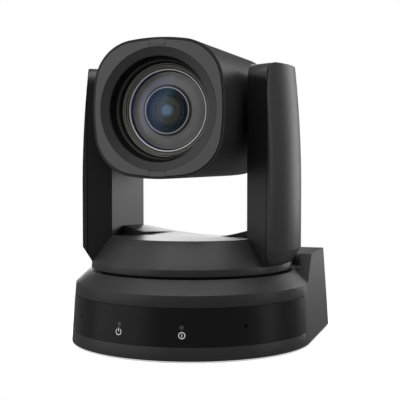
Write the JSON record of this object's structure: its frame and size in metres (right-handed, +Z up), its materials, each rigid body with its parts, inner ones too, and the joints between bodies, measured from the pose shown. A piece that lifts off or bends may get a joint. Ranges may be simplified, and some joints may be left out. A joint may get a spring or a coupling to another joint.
{
  "type": "ptz camera",
  "caption": "Desktop pan, tilt and zoom conference camera: round base with a rear socket block, a turning yoke and a tilting head with a deep round lens.",
  "frame": {"origin": "on the pan axis, at the level that the rubber feet stand on", "axes": "+Z up along the pan axis, the camera looks along -Y at rest, +X to the right when it is seen from the front"},
  "size_m": [0.1436, 0.1436, 0.1741],
  "materials": {
    "housing": "fine moulded texture, satin",
    "yoke_shell": "fine moulded texture, satin",
    "arm_inner": "fine moulded texture, satin",
    "head_shell": "fine moulded texture, satin",
    "bezel": "satin",
    "window": "glossy",
    "led": "unlit, glossy",
    "foot_rubber": "matt",
    "belt": "matt",
    "brass": "machined",
    "steel": "machined",
    "plate_metal": "powder coated",
    "aluminium": "machined",
    "motor": "satin",
    "circuit_board": "solder mask",
    "panel": "powder coated",
    "socket_plastic": "glossy",
    "socket_metal": "nickel plated",
    "lens_trim": "satin",
    "lens_black": "matt",
    "pale_ring": "satin",
    "baffle": "matt",
    "front_glass": "coated",
    "inner_glass": "coated"
  },
  "bodies": {
    "base": {"base_housing": "housing", "base_plate": "plate_metal", "rubber_feet": "foot_rubber", "tripod_insert": "brass", "base_screws": "steel", "front_window": "window", "status_leds": "led", "rear_panel": "panel", "power_jack": "socket_plastic", "lan_port": "socket_metal", "usb_port": "socket_metal", "hdmi_port": "socket_metal", "sdi_port": "socket_metal", "control_port": "socket_plastic", "main_board": "circuit_board", "pan_frame": "aluminium", "pan_motor": "motor", "pan_bearing": "steel", "pan_belt": "belt"},
    "pan_rotor": {"pan_motor_pulley": "aluminium"},
    "yoke": {"turret_shell": "yoke_shell", "turntable": "aluminium", "pan_shaft": "aluminium", "pan_pulley": "aluminium", "signal_cable": "belt", "left_arm_bracket": "steel", "right_arm_bracket": "steel", "left_arm_inner": "arm_inner", "right_arm_inner": "arm_inner", "left_arm_cover": "yoke_shell", "right_arm_cover": "yoke_shell", "tilt_bearings": "steel", "tilt_motor": "motor", "tilt_belt": "belt", "yoke_screws": "steel"},
    "tilt_rotor": {"tilt_motor_pulley": "aluminium"},
    "head": {"head_shell": "head_shell", "head_rear_cover": "head_shell", "front_bezel": "bezel", "bezel_tabs": "bezel", "lens_trim": "lens_trim", "lens_hood": "lens_black", "front_cell": "lens_black", "retainer_ring": "pale_ring", "front_lens": "front_glass", "lens_baffle": "baffle", "inner_lenses": "inner_glass", "iris_plate": "lens_black", "lens_block": "lens_black", "guide_rods": "steel", "sensor_board": "circuit_board", "lens_motors": "motor", "tilt_hubs": "lens_black", "tilt_pulley": "aluminium"},
    "zoom_group": {"zoom_carriage": "lens_black", "zoom_lens": "inner_glass"},
    "zoom_drive": {"zoom_screw": "steel"},
    "focus_group": {"focus_carriage": "lens_black", "focus_lens": "inner_glass"},
    "focus_drive": {"focus_screw": "steel"}
  },
  "joints": [
    {"name": "pan", "type": "hinge", "parent": "base", "child": "yoke", "pos_m": [0, 0, 0.045], "axis": [0, 0, 1], "range_deg": [-170, 170]},
    {"name": "tilt", "type": "hinge", "parent": "yoke", "child": "head", "pos_m": [0, 0, 0.1357], "axis": [-1, 0, 0], "range_deg": [-30, 90]},
    {"name": "pan_motor_spin", "type": "hinge", "parent": "base", "child": "pan_rotor", "pos_m": [0, -0.038, 0.032], "axis": [0, 0, 1], "range_deg": [-640, 640]},
    {"name": "tilt_motor_spin", "type": "hinge", "parent": "yoke", "child": "tilt_rotor", "pos_m": [0.056, 0, 0.088], "axis": [-1, 0, 0], "range_deg": [-121, 361]},
    {"name": "zoom", "type": "slide", "parent": "head", "child": "zoom_group", "axis": [0, 1, 0], "range_m": [0, 0.016]},
    {"name": "zoom_screw_spin", "type": "hinge", "parent": "head", "child": "zoom_drive", "pos_m": [0.016, -0.012, 0.1473], "axis": [0, 1, 0], "range_deg": [-1, 1441]},
    {"name": "focus", "type": "slide", "parent": "head", "child": "focus_group", "axis": [0, 1, 0], "range_m": [-0.005, 0.008]},
    {"name": "focus_screw_spin", "type": "hinge", "parent": "head", "child": "focus_drive", "pos_m": [-0.016, 0.008, 0.1233], "axis": [0, 1, 0], "range_deg": [-451, 721]}
  ],
  "couplings": [
    {"joint": "pan_motor_spin", "follows": "pan", "ratio": 3.75},
    {"joint": "tilt_motor_spin", "follows": "tilt", "ratio": 4},
    {"joint": "zoom_screw_spin", "follows": "zoom", "rad_per_m": 1570.8},
    {"joint": "focus_screw_spin", "follows": "focus", "rad_per_m": 1570.8}
  ]
}
